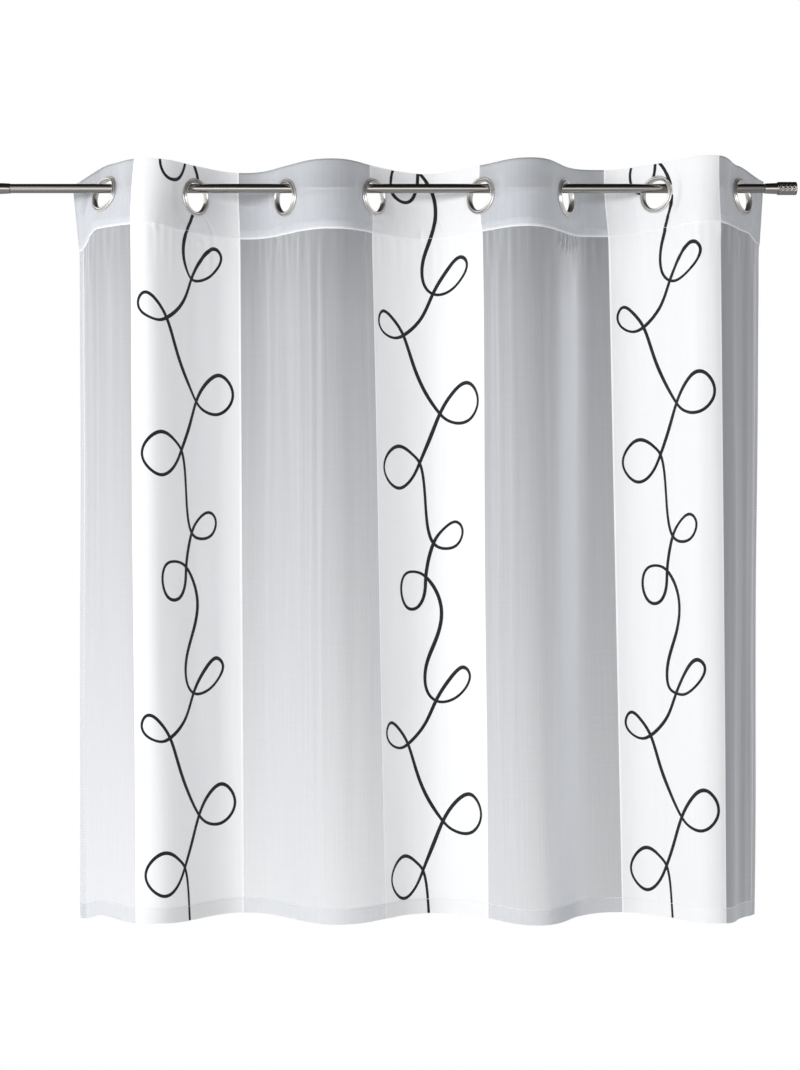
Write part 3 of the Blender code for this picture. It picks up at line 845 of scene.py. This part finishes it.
STITCH_PITCH = 4.2
STITCH_LENGTH = 3.1
STITCH_RADIUS = 0.4         # a real one is 0.15, drawn thicker so that the row shows
STITCH_HEIGHT = 0.2         # of its middle over the cloth
SEAM_INSET = 2.5            # the heading's stitches lie this far above its foot
HEM_INSET = 1.5             # and a hem's stitches this far from the hem's inner edge


def stitch_row(bm, start, end):
    """A row of stitches between two flat points (across, down), on the front of the cloth."""
    start, end = (Vector((across, -down, STITCH_HEIGHT)) for across, down in (start, end))
    way = end - start
    turn = Vector((0, 0, 1)).rotation_difference(way).to_matrix().to_4x4()
    count = int(way.length / STITCH_PITCH)
    for index in range(count):
        place = Matrix.Translation(start + way * ((index + 0.5) / count)) @ turn
        bmesh.ops.create_cone(bm, cap_ends=True, segments=6, radius1=STITCH_RADIUS, radius2=STITCH_RADIUS,
                              depth=STITCH_LENGTH, matrix=place)


def build_stitches(mat):
    """The heading's seam and the side and bottom hems, each row from one flat point to another."""
    seam = BAND_DEPTH - SEAM_INSET
    hem = PANEL_DROP - BOTTOM_HEM + HEM_INSET
    sides = (SIDE_HEM - HEM_INSET, PANEL_WIDTH - SIDE_HEM + HEM_INSET)
    rows = {
        "heading_stitches": [((4, seam), (PANEL_WIDTH - 4, seam))],
        "side_hem_stitches": [((side, BAND_DEPTH + 8), (side, PANEL_DROP - 6)) for side in sides],
        "bottom_hem_stitches": [((6, hem), (PANEL_WIDTH - 6, hem))],
    }
    pieces = []
    for name, ends in rows.items():
        bm = bmesh.new()
        for start, end in ends:
            stitch_row(bm, start, end)
        hang(bm)
        pieces.append(add_piece(name, bm, mat, []))
    return pieces


# --- looped line -------------------------------------------------------------------------

LINE_STEP = 2.0             # distance between the points of the line
LINE_END = 0.6              # it stops this short of the cloth's top and bottom edges
LINE_UNDER = 1.5            # and this far under the rim of a ring
LINE_ROUNDNESS = 0.6        # power of a span's length: less than 1 keeps the small loops round
LINE_READINGS = 40          # of the spline, for each point of the chart
LINE_SECTION = ((-0.5, 0.15), (-0.3, 0.42), (0.3, 0.42), (0.5, 0.15))       # (share of width, height)


def smooth_line(points):
    """A natural cubic spline through rows of (across, up, width), read at even steps."""
    spans = np.linalg.norm(np.diff(points[:, :2], axis=0), axis=1) ** LINE_ROUNDNESS
    system = np.eye(len(points))
    target = np.zeros_like(points)
    for index in range(1, len(points) - 1):
        before, after = spans[index - 1:index + 1]
        system[index, index - 1:index + 2] = before, 2 * (before + after), after
        target[index] = 6 * ((points[index + 1] - points[index]) / after
                             - (points[index] - points[index - 1]) / before)
    bend = np.linalg.solve(system, target)
    knots = np.concatenate(((0.0,), np.cumsum(spans)))
    reading = np.linspace(0, knots[-1], LINE_READINGS * len(points))
    left = np.clip(np.searchsorted(knots, reading, side="right") - 1, 0, len(spans) - 1)
    span = spans[left][:, None]
    b = (reading - knots[left])[:, None] / span
    a = 1 - b
    line = (a * points[left] + b * points[left + 1]
            + ((a ** 3 - a) * bend[left] + (b ** 3 - b) * bend[left + 1]) * span ** 2 / 6)
    run = np.concatenate(((0.0,), np.cumsum(np.linalg.norm(np.diff(line[:, :2], axis=0), axis=1))))
    even = np.arange(0, run[-1], LINE_STEP)
    return np.stack([np.interp(even, run, line[:, column]) for column in range(3)], axis=-1)


def build_line(number, middle, mat):
    """The looped line down one stripe, as a low raised strip that follows the chart."""
    chart = np.array(LINE_CHART, dtype=float) * (1, -1, 1)
    line = smooth_line(np.concatenate([chart + (middle, -start, 0) for start in LINE_STARTS[number - 1]]))
    line[:, 0] += pulled(line[:, 0], -line[:, 1])
    way = np.gradient(line[:, :2], axis=0)
    way /= np.linalg.norm(way, axis=1)[:, None]
    under_ring = to_nearest_eyelet(line[:, 0], -line[:, 1]) < EYELET_OUTER - LINE_UNDER
    bm = bmesh.new()
    edges = []
    for (across, up, width), (right, rise), hidden in zip(line, way, under_ring):
        if hidden:
            edges = []
            continue
        if edges:
            grown = bmesh.ops.extrude_edge_only(bm, edges=edges)["geom"]
            edges = [item for item in grown if isinstance(item, bmesh.types.BMEdge)]
            verts = [item for item in grown if isinstance(item, bmesh.types.BMVert)]
        else:
            verts = [bm.verts.new() for _ in LINE_SECTION]
            edges = [bm.edges.new(pair) for pair in zip(verts, verts[1:] + verts[:1])]
        for vert, (out, height) in zip(verts, LINE_SECTION):
            vert.co = (across - rise * out * width, up + right * out * width, height)
    for height, outwards in ((-LINE_END, 1), (LINE_END - PANEL_DROP, -1)):
        geom = bm.verts[:] + bm.edges[:] + bm.faces[:]
        bmesh.ops.bisect_plane(bm, geom=geom, plane_co=(0, height, 0), plane_no=(0, outwards, 0),
                               clear_outer=True)
    bmesh.ops.holes_fill(bm, edges=bm.edges[:], sides=0)
    bmesh.ops.recalc_face_normals(bm, faces=bm.faces[:])
    hang(bm)
    return add_piece(f"looped_line_{number}", bm, mat, [])


# --- turned pieces -----------------------------------------------------------------------

def turned(profile, steps, ring=True):
    """Spin a profile of (radius, height) about Z. A ring's profile closes on itself."""
    bm = bmesh.new()
    verts = [bm.verts.new((radius, 0, height)) for radius, height in profile]
    ends = verts[1:] + verts[:1] if ring else verts[1:]
    edges = [bm.edges.new(pair) for pair in zip(verts, ends)]
    bmesh.ops.spin(bm, geom=verts + edges, cent=(0, 0, 0), axis=(0, 0, 1),
                   angle=math.tau, steps=steps, use_merge=True)
    bmesh.ops.remove_doubles(bm, verts=bm.verts, dist=0.001)
    bmesh.ops.recalc_face_normals(bm, faces=bm.faces)
    return bm


FRONT_RING = (              # (radius, height over the cloth) from the outer rim over the crown
    (EYELET_OUTER - 0.3, 0.25), (EYELET_OUTER, 0.7), (EYELET_OUTER - 0.1, 1.3),
    (EYELET_OUTER - 0.5, 1.9), (EYELET_OUTER - 1.1, 2.1), (EYELET_OUTER - 1.6, 1.8),
    (EYELET_OUTER - 1.8, 0.5), (EYELET_OUTER - 2.3, 0.5),                   # the groove
    (EYELET_OUTER - 2.6, 2.0), (EYELET_OUTER - 3.0, 3.1), (EYELET_OUTER - 3.5, 3.75),
    (EYELET_OUTER - 4.1, FRONT_CROWN), (EYELET_OUTER - 4.8, 3.85), (EYELET_OUTER - 5.4, 3.3),
    (EYELET_OUTER - 5.85, 2.4), (EYELET_INNER, 1.4),
    (EYELET_INNER, -1.5), (EYELET_INNER, BACK_FACE + 0.6), (EYELET_INNER + 0.4, BACK_FACE),
    (EYELET_INNER + 1.4, BACK_FACE + 0.1), (BARREL, BACK_FACE + 0.7), (BARREL, 0.25),
)
BACK_RING = (               # (radius, height) of the ring that snaps on behind
    (BARREL + 0.3, BACK_SEAT), (BACK_OUTER - 0.2, BACK_SEAT), (BACK_OUTER, BACK_SEAT - 0.5),
    (BACK_OUTER - 0.3, BACK_SEAT - 1.3), (BACK_OUTER - 1.1, BACK_SEAT - 2.0),
    (BACK_OUTER - 2.1, BACK_SEAT - 2.2), (BARREL + 0.9, BACK_SEAT - 2.0), (BARREL + 0.3, BACK_SEAT - 1.2),
)


def build_eyelets(mat):
    """Both halves of each eyelet, turned with the cloth."""
    pieces = []
    for number, row in enumerate(EYELET_ROWS, start=1):
        along, up, front = ring_axes(row)
        turn = Matrix((along, up, front)).transposed().to_4x4()
        place = Matrix.Translation(ring_centre(row) * MM) @ turn @ Matrix.Scale(MM, 4)
        for side, profile in (("front", FRONT_RING), ("back", BACK_RING)):
            bm = turned(profile, RING_STEPS)
            bmesh.ops.transform(bm, matrix=place, verts=bm.verts)
            pieces.append(add_piece(f"pressed_eyelet_{number}_{side}", bm, mat,
                                    [f"eyelet_{number}_{side}"], smooth_angle=70.0))
    return pieces


def along_rod(bm, side):
    """Lay a piece turned about Z along the rod, with its top towards the end on this side."""
    turn = Matrix.Rotation(side * math.pi / 2, 4, "Y") @ Matrix.Scale(MM, 4)
    bmesh.ops.transform(bm, matrix=turn, verts=bm.verts)


def build_rod(mat):
    half = [(ROD_RADIUS, ROD_HALF - ROD_EDGE), (ROD_RADIUS - ROD_EDGE, ROD_HALF), (0, ROD_HALF)]
    profile = [(radius, -height) for radius, height in half[::-1]] + half
    bm = turned(profile, ROD_STEPS, ring=False)
    along_rod(bm, 1)
    return add_piece("rod_tube", bm, mat, ["rod"])


KNURLS_AROUND = 9
KNURL_LENGTH = 6.0
KNURL_DEPTH = 0.7
KNURL_MARGIN = 1.5          # smooth at both ends of the sleeve
CAP_STEPS = 108
SLEEVE_ROWS = 46            # enough for the grooves


def knurl(bm):
    """Press crossing grooves into the sleeve, which leaves raised diamonds."""
    first, last = CAP_SLEEVE_START + KNURL_MARGIN, CAP_END - KNURL_MARGIN
    for vert in bm.verts:
        radius = math.hypot(vert.co.x, vert.co.y)
        if radius < CAP_RADIUS - 0.1 or not first < vert.co.z < last:
            continue
        around = KNURLS_AROUND * math.atan2(vert.co.y, vert.co.x) / math.tau
        along = (vert.co.z - first) / KNURL_LENGTH
        ridges = [abs(2 * (spiral % 1) - 1) for spiral in (around + along, around - along)]
        vert.co.xy *= 1 - KNURL_DEPTH * max(ridges) ** 3 / radius


def build_end_caps(mat):
    """A sleeve with a knurl on each end of the rod, with a neck that steps down to the tube."""
    start = ROD_HALF + 0.1
    heights = np.linspace(CAP_SLEEVE_START + 0.8, CAP_END - 1.2, SLEEVE_ROWS)
    sleeve = [(CAP_RADIUS, height) for height in heights]
    neck = [(CAP_NECK, CAP_SLEEVE_START), (CAP_NECK - 0.3, CAP_SLEEVE_START - 3.0),
            (ROD_RADIUS + 0.9, start + 8.0), (ROD_RADIUS + 0.5, start + 0.4), (ROD_RADIUS, start)]
    profile = [(0, CAP_END), (CAP_RADIUS - 2.4, CAP_END), (CAP_RADIUS - 1.0, CAP_END - 0.2)]
    profile += sleeve[::-1] + [(CAP_RADIUS - 0.5, CAP_SLEEVE_START)] + neck + [(0, start)]
    pieces = []
    for name, side in (("left", -1), ("right", 1)):
        bm = turned(profile, CAP_STEPS, ring=False)
        knurl(bm)
        along_rod(bm, side)
        pieces.append(add_piece(f"knurled_cap_{name}", bm, mat, [f"end_cap_{name}"],
                                smooth_angle=30.0))
    return pieces


# --- studio ------------------------------------------------------------------------------

FLOOR_HEIGHT = -2.2         # metres: the rod hangs at its usual height over the floor
FLOOR_RADIUS = 3.4          # metres
CAMERA_PLACE = (0.0175, -3.0, -0.5138)      # metres
FOCAL_PIXELS = 2143.0       # focal length in pixels of the 800 x 1070 picture
PICTURE_HEIGHT = 1070.0
HORIZON_BELOW_MIDDLE = 20.0                 # pixels
LIGHTS = (                  # name, place, aim, width and height (metres), power (watts)
    ("key_left", (-2.4, -2.4, 0.1), (0.0, 0.0, -0.5), 1.8, 0.5, 46.0),
    ("front", (-0.95, -1.9, 0.1), (-0.3, 0.0, -0.45), 1.2, 0.5, 12.0),
    ("back", (0.4, 2.6, -0.1), (0.0, 0.0, -0.5), 1.6, 1.2, 18.0),
)
# how bright the studio is by the height (Z) of a direction, for what it lights
ROOM = ((-0.75, 0.50), (-0.34, 0.61), (-0.26, 1.26), (0.02, 1.34), (0.2, 0.66), (0.9, 0.50))
# what bare metal mirrors in front of it, and to its sides
MIRRORED = ((-0.9, 1.2), (-0.6, 1.15), (-0.34, 1.8), (-0.22, 3.2), (0.06, 3.2), (0.14, 0.08), (0.9, 0.05))
MIRRORED_SIDES = ((-0.9, 1.1), (-0.2, 1.7), (0.35, 1.7), (0.55, 0.05))
FRONT_END = (-0.85, -0.5)                   # Y of a direction where the front ends and the sides start
# the backdrop is dimmer where it shows through the cloth: by the Z and by the X of a direction
BEHIND = ((-0.17, 0.90), (-0.02, 0.55), (0.11, 0.27), (0.16, 0.05))
BEHIND_ACROSS = ((-0.16, 1.1), (-0.07, 1.0), (0.03, 0.86), (0.08, 0.66), (0.16, 0.02))
BEHIND_END = (0.90, 0.96)                   # Y where the backdrop ends and where it is full
BEHIND_ASIDE = 0.72                         # and how bright the studio shows through beside it
ROOM_BRIGHT = (-0.93, -0.36, 0.0)           # direction of the studio's bright side
ROOM_DIM = 0.67                             # share of light on its other side
MIRRORED_BRIGHT = (-0.75, -0.65, 0.0)       # direction of the bright side that metal mirrors
MIRRORED_DIM = 0.3                          # and the share on the other
SIDE_BLEND = (-0.3, 0.7)                    # from dim to bright, by how far a direction points that way


def build_floor():
    bm = bmesh.new()
    bmesh.ops.create_circle(bm, cap_ends=True, segments=96, radius=FLOOR_RADIUS,
                            matrix=Matrix.Translation((0, 0, FLOOR_HEIGHT)))
    mesh = bpy.data.meshes.new("studio_floor")
    bm.to_mesh(mesh)
    bm.free()
    mesh.materials.append(pale_floor())
    floor = bpy.data.objects.new("studio_floor", mesh)
    bpy.context.collection.objects.link(floor)


def aim(item, target):
    item.rotation_euler = (Vector(target) - item.location).to_track_quat("-Z", "Y").to_euler()


def build_lights():
    for name, place, target, width, height, power in LIGHTS:
        light = bpy.data.lights.new(name, "AREA")
        light.shape = "RECTANGLE"
        light.size, light.size_y = width, height
        light.energy = power
        item = bpy.data.objects.new(name, light)
        item.location = place
        aim(item, target)
        item.visible_camera = False
        item.visible_glossy = False
        bpy.context.collection.objects.link(item)


def grey_ramp(world, value, steps):
    """A grey with a trace of blue that follows one value of the direction."""
    low, high = steps[0][0], steps[-1][0]
    share = add_node(world, "MapRange", {"Value": value, "From Min": low, "From Max": high})
    ramp = add_node(world, "ValToRGB", {"Fac": share})
    stops = ramp.color_ramp.elements
    for _ in steps[2:]:
        stops.new(0.5)
    for stop, (level, grey) in zip(stops, steps):
        stop.position = (level - low) / (high - low)
        stop.color = (grey, grey, grey * 1.01, 1)
    return ramp


def side_share(world, way, bright, dim):
    """1 for directions on the bright side, falling to dim on the other."""
    towards = add_node(world, "VectorMath", {0: way, 1: bright}, operation="DOT_PRODUCT")
    return add_node(world, "MapRange", {"Value": towards, "From Min": SIDE_BLEND[0],
                                        "From Max": SIDE_BLEND[1], "To Min": dim})


def build_world():
    """A white studio, dark overhead, with a backdrop that is dimmer where the cloth veils it."""
    world = bpy.data.worlds.new("studio")
    world.use_nodes = True
    world.node_tree.nodes.clear()
    bpy.context.scene.world = world
    way = add_node(world, "TexCoord").outputs["Generated"]
    x, y, z = add_node(world, "SeparateXYZ", {0: way}).outputs
    room = add_node(world, "Background", {"Color": grey_ramp(world, z, ROOM),
                                          "Strength": side_share(world, way, ROOM_BRIGHT, ROOM_DIM)})
    aside = add_node(world, "MapRange", {"Value": y, "From Min": FRONT_END[0], "From Max": FRONT_END[1]})
    around = add_node(world, "Mix", {"Factor": aside, "A": grey_ramp(world, z, MIRRORED),
                                     "B": grey_ramp(world, z, MIRRORED_SIDES)}, data_type="RGBA")
    shiny = side_share(world, way, MIRRORED_BRIGHT, MIRRORED_DIM)
    mirrored = add_node(world, "Background", {"Color": around, "Strength": shiny})
    backdrop = add_node(world, "Background", {"Color": grey_ramp(world, z, BEHIND),
                                              "Strength": grey_ramp(world, x, BEHIND_ACROSS)})
    beside = add_node(world, "Background", {"Color": (1, 1, 1, 1), "Strength": BEHIND_ASIDE})
    ahead = add_node(world, "MapRange", {"Value": y, "From Min": BEHIND_END[0], "From Max": BEHIND_END[1]})
    behind = add_node(world, "MixShader", {0: ahead, 1: beside, 2: backdrop})
    white = add_node(world, "Background", {"Color": (1, 1, 1, 1)})
    path = add_node(world, "LightPath")
    through = add_node(world, "Math", {0: path.outputs["Transparent Depth"], 1: 0.5},
                       operation="GREATER_THAN")
    seen = add_node(world, "MixShader", {0: through, 1: white, 2: behind})
    mix = add_node(world, "MixShader", {0: path.outputs["Is Glossy Ray"], 1: room, 2: mirrored})
    mix = add_node(world, "MixShader", {0: path.outputs["Is Camera Ray"], 1: mix, 2: seen})
    add_node(world, "OutputWorld", {"Surface": mix})


def build_camera():
    data = bpy.data.cameras.new("camera")
    # the sensor's width spans the longer side of the picture, which is its height
    data.lens = FOCAL_PIXELS / PICTURE_HEIGHT * data.sensor_width
    data.clip_end = 50.0
    camera = bpy.data.objects.new("camera", data)
    camera.location = CAMERA_PLACE
    tilt = math.atan(HORIZON_BELOW_MIDDLE / FOCAL_PIXELS)
    camera.rotation_euler = (math.pi / 2 + tilt, 0, 0)
    bpy.context.collection.objects.link(camera)
    bpy.context.scene.camera = camera


def build():
    voile = woven_voile()
    panel = build_panel(voile)
    heading = build_heading(voile)
    stitches = build_stitches(sewing_thread())
    print_black = flock_print()
    lines = [build_line(number + 1, STRIPE_FIRST + number * STRIPE_PERIOD, print_black)
             for number in range(STRIPES)]
    eyelets = build_eyelets(satin_nickel())
    rod = build_rod(brushed_steel("brushed_stainless_tube", "#A09C97", "#7F7C78"))
    build_end_caps(brushed_steel("turned_stainless_steel", "#A29E98", "#7F7C78"))
    build_floor()
    build_lights()
    build_world()
    build_camera()
    bpy.context.scene.view_settings.view_transform = "Standard"


build()
